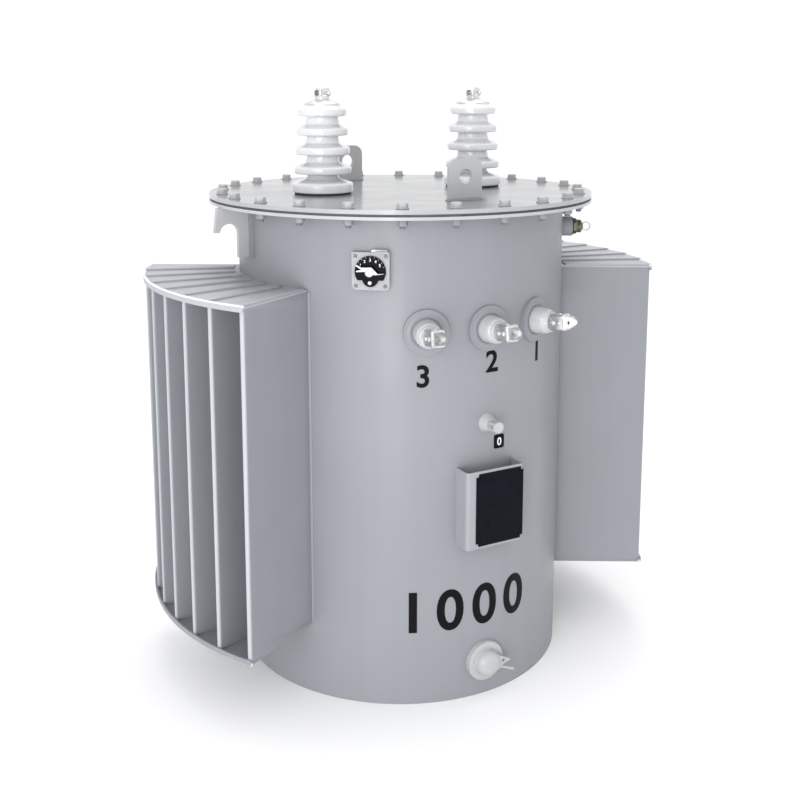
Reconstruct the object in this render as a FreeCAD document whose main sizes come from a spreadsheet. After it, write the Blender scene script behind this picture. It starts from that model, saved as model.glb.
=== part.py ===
import FreeCAD, Part
import os
import re
import sys

# Single-phase oil-filled distribution transformer: round welded tank with a bolted cover,
# two high-voltage bushings on the cover, three low-voltage bushings on the front wall and a
# bank of radial cooling fins on each side.
# Frame: millimetres, +Z up, origin at the centre of the tank's foot. The front is -Y, and an
# angle round the tank is counted from the front, positive towards +X.

doc = FreeCAD.newDocument("transformer")
sheet = doc.addObject("Spreadsheet::Sheet", "dims")

SIZES = [
    ("tankRadius", 350, "outer radius of the tank wall"),
    ("tankWall", 5, "thickness of the tank wall"),
    ("coverTop", 1005, "height of the cover's top face"),
    ("coverThick", 8, "thickness of the cover"),
    ("flangeWide", 60, "the cover and the tank flange reach this far outside the wall"),
    ("coverRadius", "=tankRadius + flangeWide", "outer radius of the cover and of the flange"),
    ("gasketThick", 5, "thickness of the cover gasket"),
    ("gasketInset", 4, "the gasket's edge stands back from the cover's by this"),
    ("flangeThick", 6, "thickness of the tank flange"),
    ("bottomRecess", 6, "the bottom plate stands this high above the foot"),
    ("bottomThick", 8, "thickness of the bottom plate"),
    ("finReach", 197, "the fins reach this far outside the wall"),
    ("finOuter", "=tankRadius + finReach", "radius of the fins' outer edges"),
    ("finThick", 12, "thickness of one fin"),
    ("finStep", 8.46, "angle from one fin to the next"),
    ("finCount", 8, "fins in one bank"),
    ("bankFoot", 152, "height of the bank's lowest face"),
    ("bankDown", 166, "the bank's highest face is this far below the cover's top"),
    ("bankTop", "=coverTop - bankDown", "height of the bank's highest face"),
    ("bankPlate", 4, "thickness of the bank's end plates"),
    ("bankLip", 10, "height of the lip round the end plates' outer edge"),
    ("lipThick", 4, "thickness of that lip"),
    ("lipPlay", 0.2, "gap between the fins' outer edges and the lip"),
    ("bankOverhang", 0.7, "the end plates pass the outermost fins by this angle"),
    ("bushingSpread", 185, "high-voltage bushings stand this far either side of centre"),
    ("porcelainNeck", 28, "radius of the high-voltage porcelain between its sheds"),
    ("porcelainFoot", 63, "radius of the high-voltage porcelain's foot"),
    ("footBevel", 3, "the slope above the foot starts this far inside the foot"),
    ("porcelainShank", 27, "radius of the porcelain where it passes through the cover"),
    ("shankLength", 70, "length of the porcelain below the cover"),
    ("shankPlay", 1, "gap round the shank in the cover"),
    ("footHigh", 16, "straight height of the porcelain's foot"),
    ("footSlope", 14, "height of the slope above the foot"),
    ("ringThick", 4, "thickness of the gasket ring under a bushing"),
    ("ringInset", 4, "the gasket ring's edge stands back from the porcelain's"),
    ("shedStart", 43, "height of the lowest shed's rim above the cover"),
    ("shedStep", 39.5, "height from one shed to the next"),
    ("shedUpper", 51, "radius of the highest shed"),
    ("shedLower", 60, "radius of the lowest shed"),
    ("shedRim", 6, "height of a shed's rim"),
    ("shedSlope", 13, "height of the slope above a shed's rim"),
    ("shedUnder", 4, "height of the hollow slope under a shed"),
    ("capRadius", 37, "radius of the metal cap on a high-voltage bushing"),
    ("capRim", 5, "height of that cap's rim"),
    ("capSlope", 8, "height of the slope on that cap"),
    ("nutRadius", 16, "corner radius of the hexagonal nut on the cap"),
    ("nutHigh", 8, "height of that nut"),
    ("eyeWide", 34, "width of the connector on the cap"),
    ("eyeDeep", 20, "depth of the connector on the cap"),
    ("eyeHigh", 20, "height of the connector on the cap"),
    ("eyeHole", 6.5, "radius of the cable hole through the connector"),
    ("lugOffset", 260, "cover lugs stand this far before and behind the centre"),
    ("lugWide", 76, "width of a cover lug"),
    ("lugHigh", 83, "height of a cover lug"),
    ("lugThick", 8, "thickness of a cover lug"),
    ("lugRound", 20, "radius of a cover lug's upper corners"),
    ("lugHole", 14.5, "radius of the hole in a cover lug"),
    ("lugHoleUp", 47, "height of that hole above the cover"),
    ("hookThick", 12, "thickness of a lifting hook"),
    ("hookDrop", 102, "height of a hook's root, down from the flange"),
    ("hookTip", 49, "a hook's tip is this far below the flange"),
    ("hookRoot", 26, "a hook's root stands this far out at its lower end"),
    ("hookGap", 32, "the crown of a hook's mouth is this far below the flange"),
    ("hookMouth", 20, "radius of a hook's mouth"),
    ("hookNose", 10, "width of a hook's tip outside its mouth"),
    ("hookReach", "=hookRoot + 2 * hookMouth + hookNose", "reach of a hook from the wall"),
    ("hookSlant", 7, "angle of a hook's outer edge"),
    ("padWide", 46, "width of the pad behind a hook"),
    ("padThick", 5, "thickness of the pad behind a hook"),
    ("lvDown", 240, "the low-voltage bushings are this far below the cover's top"),
    ("lvHeight", "=coverTop - lvDown", "height of the low-voltage bushings"),
    ("lvStep", 21, "angle from one low-voltage bushing to the next"),
    ("bossRadius", 45, "radius of the raised seat round a low-voltage bushing"),
    ("bossProud", 5, "the seat's face stands this far outside the wall"),
    ("lvFoot", 27, "radius of the low-voltage porcelain at its seat"),
    ("lvNose", 21, "radius of the low-voltage porcelain at its outer end"),
    ("lvLong", 38, "length of the low-voltage porcelain outside its seat"),
    ("lvShank", 18, "radius of the low-voltage porcelain inside the wall"),
    ("lvInside", 45, "length of the low-voltage porcelain inside the wall"),
    ("studRadius", 8, "radius of the low-voltage stud"),
    ("studFree", 6, "length of stud between the porcelain and the connector"),
    ("clampLong", 40, "length of the low-voltage connector's clamp"),
    ("clampHigh", 32, "height of that clamp"),
    ("clampWide", 28, "width of that clamp"),
    ("clampHole", 8, "radius of the cable hole through the clamp"),
    ("noseInset", 3, "the nose's root stands back from the clamp's sides by this"),
    ("noseTip", 3, "radius of the nose's tip"),
    ("noseLong", 34, "length of the connector's tapered nose"),
    ("tapAngle", -38, "the tap changer's angle round the tank"),
    ("tapDown", 121, "the tap changer is this far below the cover's top"),
    ("tapHeight", "=coverTop - tapDown", "height of the tap changer"),
    ("tapSide", 72, "side of the tap changer's square plate"),
    ("tapCorner", 10, "radius of that plate's lower corners"),
    ("tapStand", 7, "the plate's back stands this far outside the wall"),
    ("tapPlate", 3, "thickness of the tap changer's plate"),
    ("tapHub", 20, "radius of the hub behind the plate"),
    ("hoodReach", 12, "the hood over the plate reaches this far out"),
    ("hoodWide", 26, "width of that hood"),
    ("dialRadius", 29.5, "radius of the dial"),
    ("dialThick", 5, "thickness of the dial"),
    ("dialFlat", 16.5, "the dial is cut flat this far below its centre"),
    ("dialLobe", 15, "radius of the lobe under the dial"),
    ("dialLobeDown", 14, "the lobe's centre is this far below the dial's"),
    ("spindle", 6, "radius of the tap changer's spindle"),
    ("runFit", 0.06, "running clearance round the spindle"),
    ("handleGap", 5, "gap between the dial and the handle"),
    ("handleThick", 7, "thickness of the handle"),
    ("handleLong", 27, "half length of the handle"),
    ("handleWide", 13, "width of the handle"),
    ("pointLong", 8, "length of the handle's pointer, of which a part lies in the handle"),
    ("pointWide", 4, "width of that pointer"),
    ("pointLap", 2, "length of the pointer inside the handle"),
    ("spindleInside", 24, "length of the spindle inside the wall"),
    ("groundDown", 430, "the grounding boss is this far below the cover's top"),
    ("groundHeight", "=coverTop - groundDown", "height of the grounding boss"),
    ("groundRadius", 19, "radius of the grounding boss at the wall"),
    ("groundNose", 12, "radius of the grounding boss at its outer end"),
    ("groundProud", 18, "the grounding boss stands this far outside the wall"),
    ("groundStud", 6, "radius of the grounding connector's stud"),
    ("groundInside", 12, "length of that stud inside the boss"),
    ("groundFree", 4, "length of that stud between the boss and the connector"),
    ("eyeletWide", 17, "width and height of the grounding connector"),
    ("eyeletLong", 15, "length of the grounding connector"),
    ("eyeletHole", 4.5, "radius of the cable hole through the grounding connector"),
    ("eyeletHead", 11, "radius of the grounding connector's round head"),
    ("headThick", 5, "thickness of that head"),
    ("tagDown", 43, "the small plate is this far below the grounding boss"),
    ("tagHeight", "=groundHeight - tagDown", "height of the small plate"),
    ("tagAngle", 4.8, "the small plate's angle round the tank"),
    ("tagWide", 24, "width of that small plate"),
    ("tagHigh", 28, "height of that small plate"),
    ("tagThick", 2, "thickness of that small plate"),
    ("frameDown", 41, "the nameplate bracket is this far below the small plate's centre"),
    ("frameHigh", 158, "height of the nameplate bracket"),
    ("frameLow", "=tagHeight - frameDown - frameHigh", "height of the bracket's lower edge"),
    ("frameWide", 132, "width of the nameplate bracket"),
    ("frameStand", 35, "the bracket's face stands this far outside the wall"),
    ("frameThick", 2.5, "thickness of the bracket's sheet"),
    ("frameBend", 8, "outer radius of the bracket's bends"),
    ("plateLeft", 20, "width of bracket left bare on the nameplate's left"),
    ("plateRight", 2, "width of bracket left bare on the nameplate's right"),
    ("plateEdge", 5, "height of bracket left bare above and below the nameplate"),
    ("plateWide", "=frameWide - plateLeft - plateRight", "width of the nameplate"),
    ("plateHigh", "=frameHigh - 2 * plateEdge", "height of the nameplate"),
    ("plateThick", 1.5, "thickness of the nameplate"),
    ("plateShift", "=(plateLeft - plateRight) / 2", "the nameplate's shift to the right"),
    ("plateNotch", 6, "size of the notches in the nameplate's corners"),
    ("drainHeight", 74, "height of the drain boss"),
    ("drainPad", 41, "radius of the pad behind the drain boss"),
    ("drainPadProud", 8, "the pad stands this far outside the wall"),
    ("drainBody", 27, "radius of the drain boss"),
    ("drainLong", 24, "length of the drain boss outside its pad"),
    ("drainRound", 9, "radius of the drain boss's rounded edge"),
    ("earRoot", 34, "height of the drain boss's ear at its root"),
    ("earTip", 5, "height of that ear at its tip"),
    ("earLong", 24, "that ear reaches this far past the boss"),
    ("earThick", 6, "thickness of that ear"),
    ("earHole", 4, "radius of the hole in that ear"),
    ("earHoleOut", 6, "that hole's centre is this far outside the boss"),
    ("reliefAngle", 61, "the relief valve's angle round the tank"),
    ("reliefDown", 80, "the relief valve is this far below the cover's top"),
    ("reliefHeight", "=coverTop - reliefDown", "height of the relief valve"),
    ("stubRadius", 21, "radius of the relief valve's welded stub"),
    ("stubLong", 24, "length of that stub outside the wall"),
    ("reliefRadius", 15, "radius of the relief valve's body"),
    ("reliefLong", 24, "length of the relief valve's body"),
    ("reliefCollar", 18, "radius of the relief valve's collar"),
    ("collarThick", 4, "thickness of that collar"),
    ("pullRing", 10.5, "outer radius of the relief valve's pull ring"),
    ("pullHole", 7.5, "inner radius of the pull ring"),
    ("pullThick", 3, "thickness of the pull ring"),
    ("capInset", 2, "the cap's slope starts this far inside its rim"),
    ("nutSeat", 3, "the cap's slope ends this far outside the nut's corners"),
    ("shedBevel", 1, "a shed's slope starts this far inside its rim"),
    ("shedDrip", 3, "a shed's hollow underside starts this far inside its rim"),
    ("lap", 1, "pieces of one solid reach into each other by this"),
    ("over", 10, "cutting tools pass the material by at least this"),
]
for row, (alias, value, note) in enumerate(SIZES, 1):
    sheet.set(f"A{row}", note)
    sheet.set(f"B{row}", str(value))
    sheet.setAlias(f"B{row}", alias)
doc.recompute()

WORD = re.compile(r"\b(" + "|".join(alias for alias, _, _ in SIZES) + r")\b")
parts = []


def bind(obj, **sizes):
    """Ties properties of an object to the sheet: each value is a formula of sheet names."""
    for prop, formula in sizes.items():
        obj.setExpression(prop, WORD.sub(r"dims.\1", str(formula)))
    return obj


def add(kind, name, at=None, turn=None, **sizes):
    """A primitive with bound sizes; at is its base point, turn its (axis, angle)."""
    obj = doc.addObject(kind, name)
    bind(obj, **sizes)
    if at or turn:
        place(obj, at or ("0", "0", "0"), turn)
    return obj


def place(obj, at, turn=None):
    """Binds an object's Placement to a point and a rotation."""
    axis, angle = turn or ("0; 0; 1", "0")
    formula = (
        f"create(<<placement>>; create(<<vector>>; {at[0]}; {at[1]}; {at[2]}); "
        f"create(<<rotation>>; create(<<vector>>; {axis}); {angle}))"
    )
    return bind(obj, Placement=formula)


def on_wall(obj, angle, height, reach="tankRadius"):
    """Stands a piece on the tank wall: its own +Z points outwards, its +Y upwards."""
    formula = (
        f"create(<<placement>>; create(<<vector>>; ({reach}) * sin({angle}); "
        f"-({reach}) * cos({angle}); {height}); "
        f"create(<<rotation>>; create(<<vector>>; 0; 0; 1); {angle}) * "
        f"create(<<rotation>>; create(<<vector>>; 1; 0; 0); 90))"
    )
    return bind(obj, Placement=formula)


def cylinder(name, radius, height, at=None, turn=None, **more):
    return add("Part::Cylinder", name, at, turn, Radius=radius, Height=height, **more)


def cone(name, low, high, height, at=None, turn=None):
    return add("Part::Cone", name, at, turn, Radius1=low, Radius2=high, Height=height)


def box(name, long, wide, high, at=None, turn=None):
    return add("Part::Box", name, at, turn, Length=long, Width=wide, Height=high)


def fuse(name, *pieces):
    obj = doc.addObject("Part::MultiFuse", name)
    obj.Shapes = list(pieces)
    obj.Refine = True
    return obj


def cut(name, base, *tools):
    obj = doc.addObject("Part::Cut", name)
    obj.Base = base
    obj.Tool = tools[0] if len(tools) == 1 else fuse(name + "_tools", *tools)
    obj.Refine = True
    return obj


def common(name, *pieces):
    obj = doc.addObject("Part::MultiCommon", name)
    obj.Shapes = list(pieces)
    return obj


def part(obj, node):
    """Marks an object as one finished piece of the transformer."""
    obj.Label = node
    parts.append(obj)
    return obj


def tank_tool(name):
    """The tank's outer cylinder as a wall fitting sees it, to shape a fitting's back."""
    return cylinder(name, "tankRadius", "tankRadius", ("0", "tankRadius / 2", "-tankRadius"),
                    ("1; 0; 0", "90"))


def radial_hole(name, angle, height, radius):
    """A cylinder through the tank wall, pointing outwards."""
    obj = cylinder(name, radius, "6 * tankWall + 2 * bossProud")
    return on_wall(obj, angle, height, "tankRadius - 5 * tankWall")


FLANGE_TOP = "(coverTop - coverThick - gasketThick)"
FLANGE_FOOT = "(coverTop - coverThick - gasketThick - flangeThick)"
LV = [("3", "-lvStep"), ("2", "0"), ("1", "lvStep")]
SIDES = [("left", "-1"), ("right", "1")]
SHEDS = 4


# ---- Tank: wall with its raised seats, bottom plate, flange, gasket and cover -----------------
def tank():
    wall = cylinder("wall_outside", "tankRadius", FLANGE_TOP)
    seats = []
    for number, angle in LV:
        seat = cylinder("seat_" + number, "bossRadius", "tankWall + bossProud")
        seats.append(on_wall(seat, angle, "lvHeight", "tankRadius - tankWall"))
    inside = cylinder("wall_inside", "tankRadius - tankWall", f"{FLANGE_TOP} + 2 * over",
                      ("0", "0", "-over"))
    holes = [radial_hole("lv_hole_" + number, angle, "lvHeight", "lvShank + runFit")
             for number, angle in LV]
    holes.append(radial_hole("tap_hole", "tapAngle", "tapHeight", "tapHub + runFit"))
    shell = cut("shell", fuse("wall_and_seats", wall, *seats), inside, *holes)
    part(shell, "tank_shell")

    part(cylinder("bottom", "tankRadius - tankWall", "bottomThick",
                  ("0", "0", "bottomRecess")), "tank_bottom")
    part(cut("flange", cylinder("flange_disc", "coverRadius", "flangeThick",
                                ("0", "0", FLANGE_FOOT)),
             cylinder("flange_bore", "tankRadius", "flangeThick + 2 * over",
                      ("0", "0", f"{FLANGE_FOOT} - over"))), "tank_flange")
    part(cut("gasket", cylinder("gasket_disc", "coverRadius - gasketInset", "gasketThick",
                                ("0", "0", FLANGE_TOP)),
             cylinder("gasket_bore", "tankRadius - tankWall", "gasketThick + 2 * over",
                      ("0", "0", f"{FLANGE_TOP} - over"))), "cover_gasket")
    holes = [cylinder("cover_hole_" + side, "porcelainShank + shankPlay", "coverThick + 2 * over",
                      (f"{sign} * bushingSpread", "0", "coverTop - coverThick - over"))
             for side, sign in SIDES]
    part(cut("cover_plate", cylinder("cover_disc", "coverRadius", "coverThick",
                                     ("0", "0", "coverTop - coverThick")), *holes), "cover")


# ---- High-voltage bushings: gasket ring, porcelain with four sheds, metal cap and terminal ----
def high_voltage():
    for side, sign in SIDES:
        name = "hv_" + side
        spot = (f"{sign} * bushingSpread", "0", "coverTop")
        ring = cut(name + "_ring",
                   cylinder(name + "_ring_disc", "porcelainFoot - ringInset", "ringThick"),
                   cylinder(name + "_ring_bore", "porcelainShank + shankPlay",
                            "ringThick + 2 * over", ("0", "0", "-over")))
        part(place(ring, spot), "hv_ring_" + side)

        body = [
            cylinder(name + "_shank", "porcelainShank", "shankLength + ringThick + lap",
                     ("0", "0", "-shankLength")),
            cylinder(name + "_foot", "porcelainFoot", "footHigh", ("0", "0", "ringThick")),
            cone(name + "_slope", "porcelainFoot - footBevel", "porcelainNeck + lap", "footSlope",
                 ("0", "0", "ringThick + footHigh")),
            cylinder(name + "_neck", "porcelainNeck",
                     f"shedStart + {SHEDS - 1} * shedStep + shedRim + shedSlope - ringThick",
                     ("0", "0", "ringThick")),
        ]
        for shed in range(SHEDS):
            rim = f"(shedLower + (shedUpper - shedLower) * {shed} / {SHEDS - 1})"
            foot = f"(shedStart + {shed} * shedStep)"
            tag = f"{name}_shed_{shed + 1}"
            body.append(cone(tag + "_under", "porcelainNeck", f"{rim} - shedDrip", "shedUnder",
                             ("0", "0", f"{foot} - shedUnder")))
            body.append(cylinder(tag + "_rim", rim, "shedRim", ("0", "0", foot)))
            body.append(cone(tag + "_top", f"{rim} - shedBevel", "porcelainNeck", "shedSlope",
                             ("0", "0", f"{foot} + shedRim")))
        part(place(fuse(name + "_body", *body), spot), "hv_porcelain_" + side)

        top = f"(shedStart + {SHEDS - 1} * shedStep + shedRim + shedSlope)"
        nut = add("Part::Prism", name + "_nut", ("0", "0", f"{top} + capRim + capSlope"),
                  Circumradius="nutRadius", Height="nutHigh")
        eye_foot = f"({top} + capRim + capSlope + nutHigh)"
        metal = fuse(
            name + "_metal",
            cylinder(name + "_rim", "capRadius", "capRim", ("0", "0", top)),
            cone(name + "_cap", "capRadius - capInset", "nutRadius + nutSeat", "capSlope",
                 ("0", "0", f"{top} + capRim")),
            nut,
            box(name + "_eye", "eyeWide", "eyeDeep", "eyeHigh - eyeDeep / 2",
                ("-eyeWide / 2", "-eyeDeep / 2", eye_foot)),
            cylinder(name + "_crown", "eyeDeep / 2", "eyeWide",
                     ("-eyeWide / 2", "0", f"{eye_foot} + eyeHigh - eyeDeep / 2"),
                     ("0; 1; 0", "90")),
        )
        hole = cylinder(name + "_cable", "eyeHole", "2 * eyeWide",
                        ("-eyeWide", "0", f"{eye_foot} + eyeHigh - eyeDeep / 2"),
                        ("0; 1; 0", "90"))
        part(place(cut(name + "_terminal", metal, hole), spot), "hv_terminal_" + side)


# ---- Lifting: two lugs on the cover, two hooks with pads under the flange ----------------------
def cover_lugs():
    for end, sign in (("front", "-1"), ("rear", "1")):
        name = "lug_" + end
        lower = box(name + "_lower", "lugWide", "lugThick", "lugHigh - lugRound",
                    ("-lugWide / 2", "-lugThick / 2", "0"))
        upper = box(name + "_upper", "lugWide - 2 * lugRound", "lugThick", "lugHigh",
                    ("-lugWide / 2 + lugRound", "-lugThick / 2", "0"))
        rounds = [cylinder(f"{name}_round_{n}", "lugRound", "lugThick",
                           (f"{n} * (lugWide / 2 - lugRound)", "lugThick / 2",
                            "lugHigh - lugRound"), ("1; 0; 0", "90")) for n in (-1, 1)]
        hole = cylinder(name + "_hole", "lugHole", "3 * lugThick",
                        ("0", "1.5 * lugThick", "lugHoleUp"), ("1; 0; 0", "90"))
        lug = cut(name + "_cut", fuse(name + "_plate", lower, upper, *rounds), hole)
        part(place(lug, ("0", f"{sign} * lugOffset", "coverTop")), "cover_lug_" + end)


def hooks():
    """A hook is a flat plate on a curved pad, its mouth open downwards."""
    for side, sign in SIDES:
        name = "hook_" + side
        turn = ("0; 0; 1", f"90 - 90 * {sign}")
        root = "(tankRadius + hookRoot)"
        mouth_level = f"({FLANGE_FOOT} - hookGap - hookMouth)"
        plate = box(name + "_plate", "hookReach - padThick", "hookThick", "hookDrop",
                    ("tankRadius + padThick", "-hookThick / 2", f"{FLANGE_FOOT} - hookDrop"))
        mouth = cylinder(name + "_mouth", "hookMouth", "3 * hookThick",
                         (f"{root} + hookMouth", "1.5 * hookThick", mouth_level),
                         ("1; 0; 0", "90"))
        under_mouth = box(name + "_under_mouth", "2 * hookMouth", "3 * hookThick", "hookDrop",
                          (root, "-1.5 * hookThick", f"{mouth_level} - hookDrop"))
        under_tip = box(name + "_under_tip", "hookReach", "3 * hookThick", "hookDrop",
                        (f"{root} + hookMouth", "-1.5 * hookThick",
                         f"{FLANGE_FOOT} - hookTip - hookDrop"))
        beyond = box(name + "_beyond", "hookReach", "3 * hookThick", "2 * hookTip",
                     ("tankRadius + hookReach", "-1.5 * hookThick",
                      f"{FLANGE_FOOT} - hookTip"), ("0; 1; 0", "-hookSlant"))
        hook = cut(name + "_cut", plate, mouth, under_mouth, under_tip, beyond)
        part(place(hook, ("0", "0", "0"), turn), "lift_hook_" + side)

        pad = box(name + "_pad_block", "4 * padThick", "padWide", "hookDrop",
                  ("tankRadius - 3 * padThick", "-padWide / 2", f"{FLANGE_FOOT} - hookDrop"))
        wall = cylinder(name + "_pad_wall", "tankRadius", "hookDrop + 2 * over",
                        ("0", "0", f"{FLANGE_FOOT} - hookDrop - over"))
        part(place(cut(name + "_pad", pad, wall), ("0", "0", "0"), turn), "lift_pad_" + side)


# ---- Cooling banks: radial fins between two end plates with a lip round their outer edge ------
def banks():
    count = int(sheet.finCount)
    for side, sign in SIDES:
        name = "bank_" + side
        middle = f"({sign} * 90)"
        for n in range(count):
            # fin 1 is the foremost one on both sides
            angle = f"({middle} - {sign} * finStep * ({(count - 1) / 2} - {n}))"
            fin = box(f"{name}_fin_{n + 1}", "finThick", "finOuter - tankRadius",
                      "bankTop - bankFoot - 2 * bankPlate",
                      ("-finThick / 2 * cos({0}) + finOuter * sin({0})".format(angle),
                       "-finThick / 2 * sin({0}) - finOuter * cos({0})".format(angle),
                       "bankFoot + bankPlate"), ("0; 0; 1", angle))
            part(fin, f"{side}_fin_{n + 1}")
        half = f"(finStep * {(count - 1) / 2} + bankOverhang)"
        for end, foot, lip in (("top", "bankTop - bankPlate", "bankTop - bankLip"),
                               ("bottom", "bankFoot", "bankFoot")):
            tag = f"{name}_{end}"
            start = ("0; 0; 1", f"{middle} - 90 - {half}")
            disc = cylinder(tag + "_disc", "finOuter + lipPlay + lipThick", "bankPlate",
                            ("0", "0", foot), start, Angle=f"2 * {half}")
            rim = cylinder(tag + "_rim", "finOuter + lipPlay + lipThick", "bankLip",
                           ("0", "0", lip), start, Angle=f"2 * {half}")
            hollow = cylinder(tag + "_hollow", "finOuter + lipPlay", "bankLip + 2 * over",
                              ("0", "0", f"{lip} - over"))
            bore = cylinder(tag + "_bore", "tankRadius", "bankPlate + 2 * over",
                            ("0", "0", f"{foot} - over"))
            plate = fuse(tag + "_plate", cut(tag + "_flat", disc, bore),
                         cut(tag + "_lip", rim, hollow))
            part(plate, f"{side}_bank_{end}")


# ---- Low-voltage bushings: porcelain through the wall, stud with a clamp connector ------------
def low_voltage():
    for number, angle in LV:
        name = "lv_" + number
        body = fuse(name + "_body",
                    cylinder(name + "_shank", "lvShank", "lvInside + bossProud + lap",
                             ("0", "0", "-lvInside")),
                    cone(name + "_cone", "lvFoot", "lvNose", "lvLong",
                         ("0", "0", "bossProud")))
        part(on_wall(body, angle, "lvHeight"), "lv_porcelain_" + number)
        face = "(bossProud + lvLong)"
        back = f"({face} + studFree)"
        stud = cylinder(name + "_stud", "studRadius", "studFree + lap", ("0", "0", face))
        clamp = box(name + "_block", "clampWide", "clampHigh", "clampLong",
                    ("-clampWide / 2", "-clampHigh / 2", back))
        nose = cone(name + "_nose", "clampWide / 2 - noseInset", "noseTip", "noseLong",
                    ("0", "0", f"{back} + clampLong"))
        hole = cylinder(name + "_cable", "clampHole", "2 * clampHigh",
                        ("0", "clampHigh", f"{back} + clampLong / 2"), ("1; 0; 0", "90"))
        metal = cut(name + "_metal", fuse(name + "_solid", stud, clamp, nose), hole)
        part(on_wall(metal, angle, "lvHeight"), "lv_terminal_" + number)


# ---- Tap changer: plate with hub and hood, dial, and a handle that turns on the spindle -------
def tap_changer():
    bore = cylinder("tap_bore", "spindle + runFit", "tapStand + 4 * tankWall + 2 * over",
                    ("0", "0", "-3 * tankWall - over"))
    half = "tapSide / 2"
    plate = fuse(
        "tap_solid",
        box("tap_upper", "tapSide", "tapSide - tapCorner", "tapPlate",
            (f"-{half}", f"-{half} + tapCorner", "tapStand")),
        box("tap_lower", "tapSide - 2 * tapCorner", "tapSide", "tapPlate",
            (f"-{half} + tapCorner", f"-{half}", "tapStand")),
        *[cylinder(f"tap_corner_{n}", "tapCorner", "tapPlate",
                   (f"{n} * ({half} - tapCorner)", f"-{half} + tapCorner", "tapStand"))
          for n in (-1, 1)],
        box("tap_hood", "hoodWide", "tapPlate", "hoodReach + tapPlate",
            (f"{half} - hoodWide", half, "tapStand")),
        cylinder("tap_hub", "tapHub", "tapStand + 2 * tankWall", ("0", "0", "-2 * tankWall")),
    )
    part(on_wall(cut("tap_plate_cut", plate, bore), "tapAngle", "tapHeight"), "tap_plate")

    face = "(tapStand + tapPlate)"
    disc = cylinder("dial_disc", "dialRadius", "dialThick", ("0", "0", face))
    keep = box("dial_keep", "2 * dialRadius", "dialRadius + dialFlat", "dialThick",
               ("-dialRadius", "-dialFlat", face))
    lobe = cylinder("dial_lobe", "dialLobe", "dialThick", ("0", "-dialLobeDown", face))
    dial = cut("dial_cut", fuse("dial_solid", common("dial_top", disc, keep), lobe),
               cylinder("dial_bore", "spindle + runFit", f"{face} + dialThick + 2 * over",
                        ("0", "0", "-over")))
    part(on_wall(dial, "tapAngle", "tapHeight"), "tap_dial")

    back = f"({face} + dialThick + handleGap)"
    handle = fuse(
        "handle_solid",
        cylinder("handle_spindle", "spindle", f"spindleInside + {back} + lap",
                 ("0", "0", "-spindleInside")),
        box("handle_bar", "2 * handleLong - pointLong + pointLap", "handleWide", "handleThick",
            ("-handleLong", "-handleWide / 2", back)),
        box("handle_point", "pointLong", "pointWide", "handleThick",
            ("handleLong - pointLong", "-pointWide / 2", back)),
    )
    part(on_wall(handle, "tapAngle", "tapHeight"), "tap_handle")


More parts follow.
